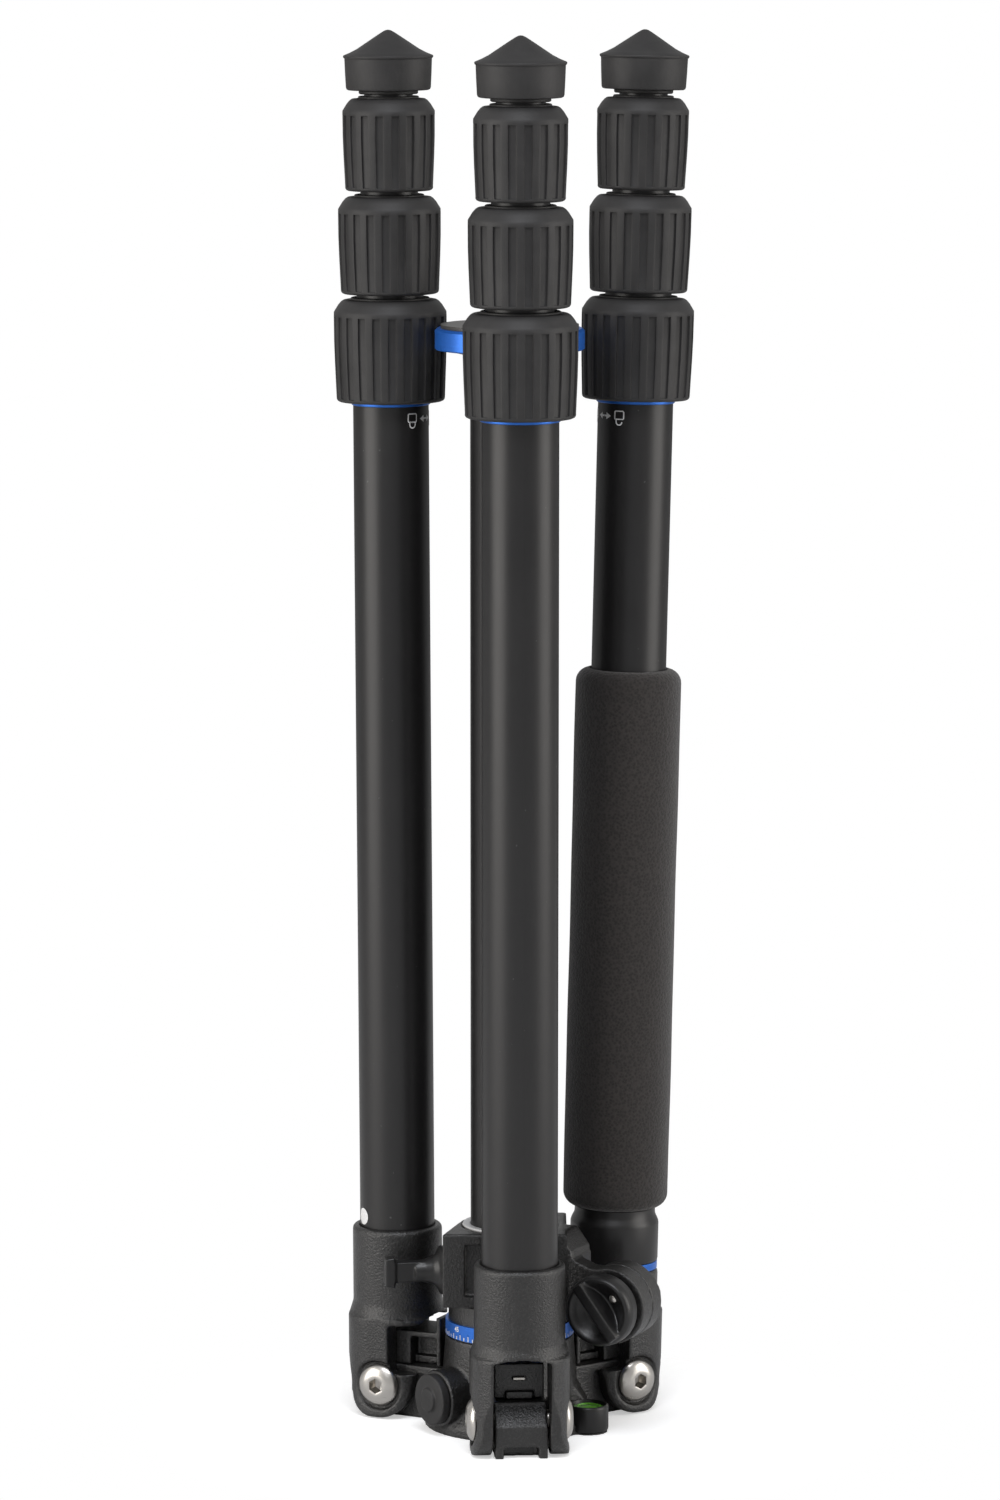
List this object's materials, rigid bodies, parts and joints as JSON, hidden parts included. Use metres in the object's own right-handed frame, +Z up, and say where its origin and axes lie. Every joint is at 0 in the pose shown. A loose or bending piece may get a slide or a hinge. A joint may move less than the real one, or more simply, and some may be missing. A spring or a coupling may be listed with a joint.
{
  "type": "travel tripod",
  "caption": "Folding travel tripod with twist-lock legs folded up round a raised centre column, with a foam grip, a bubble level and a camera platform.",
  "frame": {"origin": "on the centre column's axis, in the plane of the shoulder's underside, which the folded tripod stands on", "axes": "+Z up along the column towards the camera platform, -Y towards the front leg"},
  "size_m": [0.119, 0.1099, 0.4628],
  "materials": {
    "cast_black": "matt black powder-coated casting",
    "tube_black": "satin black anodised tube",
    "rubber_black": "matt ribbed rubber",
    "foam_black": "fine closed-cell foam",
    "anodised_blue": "satin blue anodised",
    "bright_steel": "polished, lightly scratched",
    "black_plastic": "fine-textured moulding",
    "liner_grey": "smooth light grey",
    "level_green": "clear green liquid vial",
    "pad_grey": "matt pad"
  },
  "bodies": {
    "shoulder": {"spider": "cast_black", "pivot_sleeves": "bright_steel", "pivot_screws": "bright_steel", "level_cup": "black_plastic", "level_vial": "level_green", "accessory_plug": "rubber_black", "friction_washer": "liner_grey"},
    "front_leg": {"front_knuckle": "cast_black", "front_upper_tube": "tube_black", "front_trim_ring": "anodised_blue"},
    "front_twist_1": {"front_lock_1": "rubber_black"},
    "front_section_2": {"front_tube_2": "tube_black"},
    "front_twist_2": {"front_lock_2": "rubber_black"},
    "front_section_3": {"front_tube_3": "tube_black"},
    "front_twist_3": {"front_lock_3": "rubber_black"},
    "front_section_4": {"front_tube_4": "tube_black", "front_foot": "rubber_black"},
    "front_stop": {"front_angle_stop": "black_plastic"},
    "right_leg": {"right_knuckle": "cast_black", "right_upper_tube": "tube_black", "right_trim_ring": "anodised_blue", "foam_grip": "foam_black", "coupler_sleeve": "tube_black", "coupler_ring": "anodised_blue"},
    "right_twist_1": {"right_lock_1": "rubber_black"},
    "right_section_2": {"right_tube_2": "tube_black"},
    "right_twist_2": {"right_lock_2": "rubber_black"},
    "right_section_3": {"right_tube_3": "tube_black"},
    "right_twist_3": {"right_lock_3": "rubber_black"},
    "right_section_4": {"right_tube_4": "tube_black", "right_foot": "rubber_black"},
    "right_stop": {"right_angle_stop": "black_plastic"},
    "left_leg": {"left_knuckle": "cast_black", "left_upper_tube": "tube_black", "left_trim_ring": "anodised_blue"},
    "left_twist_1": {"left_lock_1": "rubber_black"},
    "left_section_2": {"left_tube_2": "tube_black"},
    "left_twist_2": {"left_lock_2": "rubber_black"},
    "left_section_3": {"left_tube_3": "tube_black"},
    "left_twist_3": {"left_lock_3": "rubber_black"},
    "left_section_4": {"left_tube_4": "tube_black", "left_foot": "rubber_black"},
    "left_stop": {"left_angle_stop": "black_plastic"},
    "turret": {"turntable": "cast_black", "scale_ring": "anodised_blue", "column_collar": "cast_black", "collar_liner": "liner_grey", "tilt_pin": "bright_steel", "tilt_washer": "bright_steel"},
    "tilt_lock": {"tilt_knob": "black_plastic"},
    "column_lock": {"column_knob": "black_plastic"},
    "column": {"column_tube": "tube_black", "column_stop": "black_plastic", "platform": "cast_black", "platform_ring": "anodised_blue", "platform_pad": "pad_grey", "camera_stud": "bright_steel"}
  },
  "joints": [
    {"name": "front_leg_fold", "type": "hinge", "parent": "shoulder", "child": "front_leg", "pos_m": [0.00326, -0.04136, 0.0115], "axis": [0.9969, 0.0785, 0], "range_deg": [0, 156.65]},
    {"name": "front_stop_pull", "type": "slide", "parent": "shoulder", "child": "front_stop", "axis": [0.0785, -0.9969, 0], "range_m": [0, 0.0025], "stiffness_N_per_m": 400, "springref_m": -0.001},
    {"name": "front_lock_1_twist", "type": "hinge", "parent": "front_leg", "child": "front_twist_1", "pos_m": [0.00326, -0.04136, 0.0115], "axis": [0.0005, -0.0061, 1], "range_deg": [0, 90]},
    {"name": "front_section_2_slide", "type": "slide", "parent": "front_leg", "child": "front_section_2", "axis": [0.0005, -0.0061, 1], "range_m": [0, 0.27]},
    {"name": "front_lock_2_twist", "type": "hinge", "parent": "front_section_2", "child": "front_twist_2", "pos_m": [0.00326, -0.04136, 0.0115], "axis": [0.0005, -0.0061, 1], "range_deg": [0, 90]},
    {"name": "front_section_3_slide", "type": "slide", "parent": "front_section_2", "child": "front_section_3", "axis": [0.0005, -0.0061, 1], "range_m": [0, 0.27]},
    {"name": "front_lock_3_twist", "type": "hinge", "parent": "front_section_3", "child": "front_twist_3", "pos_m": [0.00326, -0.04136, 0.0115], "axis": [0.0005, -0.0061, 1], "range_deg": [0, 90]},
    {"name": "front_section_4_slide", "type": "slide", "parent": "front_section_3", "child": "front_section_4", "axis": [0.0005, -0.0061, 1], "range_m": [0, 0.27]},
    {"name": "right_leg_fold", "type": "hinge", "parent": "shoulder", "child": "right_leg", "pos_m": [0.03419, 0.0235, 0.0115], "axis": [-0.5664, 0.8241, 0], "range_deg": [0, 155.4]},
    {"name": "right_stop_pull", "type": "slide", "parent": "shoulder", "child": "right_stop", "axis": [0.8241, 0.5664, 0], "range_m": [0, 0.0025], "stiffness_N_per_m": 400, "springref_m": -0.001},
    {"name": "right_lock_1_twist", "type": "hinge", "parent": "right_leg", "child": "right_twist_1", "pos_m": [0.03419, 0.0235, 0.0115], "axis": [0.023, 0.0158, 0.9996], "range_deg": [0, 90]},
    {"name": "right_section_2_slide", "type": "slide", "parent": "right_leg", "child": "right_section_2", "axis": [0.023, 0.0158, 0.9996], "range_m": [0, 0.27]},
    {"name": "right_lock_2_twist", "type": "hinge", "parent": "right_section_2", "child": "right_twist_2", "pos_m": [0.03419, 0.0235, 0.0115], "axis": [0.023, 0.0158, 0.9996], "range_deg": [0, 90]},
    {"name": "right_section_3_slide", "type": "slide", "parent": "right_section_2", "child": "right_section_3", "axis": [0.023, 0.0158, 0.9996], "range_m": [0, 0.27]},
    {"name": "right_lock_3_twist", "type": "hinge", "parent": "right_section_3", "child": "right_twist_3", "pos_m": [0.03419, 0.0235, 0.0115], "axis": [0.023, 0.0158, 0.9996], "range_deg": [0, 90]},
    {"name": "right_section_4_slide", "type": "slide", "parent": "right_section_3", "child": "right_section_4", "axis": [0.023, 0.0158, 0.9996], "range_m": [0, 0.27]},
    {"name": "left_leg_fold", "type": "hinge", "parent": "shoulder", "child": "left_leg", "pos_m": [-0.03744, 0.01786, 0.0115], "axis": [-0.4305, -0.9026, 0], "range_deg": [0, 156.65]},
    {"name": "left_stop_pull", "type": "slide", "parent": "shoulder", "child": "left_stop", "axis": [-0.9026, 0.4305, 0], "range_m": [0, 0.0025], "stiffness_N_per_m": 400, "springref_m": -0.001},
    {"name": "left_lock_1_twist", "type": "hinge", "parent": "left_leg", "child": "left_twist_1", "pos_m": [-0.03744, 0.01786, 0.0115], "axis": [-0.0055, 0.0026, 1], "range_deg": [0, 90]},
    {"name": "left_section_2_slide", "type": "slide", "parent": "left_leg", "child": "left_section_2", "axis": [-0.0055, 0.0026, 1], "range_m": [0, 0.27]},
    {"name": "left_lock_2_twist", "type": "hinge", "parent": "left_section_2", "child": "left_twist_2", "pos_m": [-0.03744, 0.01786, 0.0115], "axis": [-0.0055, 0.0026, 1], "range_deg": [0, 90]},
    {"name": "left_section_3_slide", "type": "slide", "parent": "left_section_2", "child": "left_section_3", "axis": [-0.0055, 0.0026, 1], "range_m": [0, 0.27]},
    {"name": "left_lock_3_twist", "type": "hinge", "parent": "left_section_3", "child": "left_twist_3", "pos_m": [-0.03744, 0.01786, 0.0115], "axis": [-0.0055, 0.0026, 1], "range_deg": [0, 90]},
    {"name": "left_section_4_slide", "type": "slide", "parent": "left_section_3", "child": "left_section_4", "axis": [-0.0055, 0.0026, 1], "range_m": [0, 0.27]},
    {"name": "pan_turn", "type": "hinge", "parent": "shoulder", "child": "turret", "pos_m": [0, 0, 0.0305], "axis": [0, 0, 1], "range_deg": [-6, 6]},
    {"name": "tilt_knob_turn", "type": "hinge", "parent": "turret", "child": "tilt_lock", "pos_m": [0.03583, -0.01709, 0.045], "axis": [-0.4305, -0.9026, 0], "range_deg": [0, 360]},
    {"name": "column_knob_turn", "type": "hinge", "parent": "turret", "child": "column_lock", "pos_m": [-0.02098, -0.0037, 0.05283], "axis": [-0.9848, -0.1736, 0], "range_deg": [0, 270]},
    {"name": "column_slide", "type": "slide", "parent": "turret", "child": "column", "axis": [0, 0, 1], "range_m": [-0.27, 0]}
  ]
}
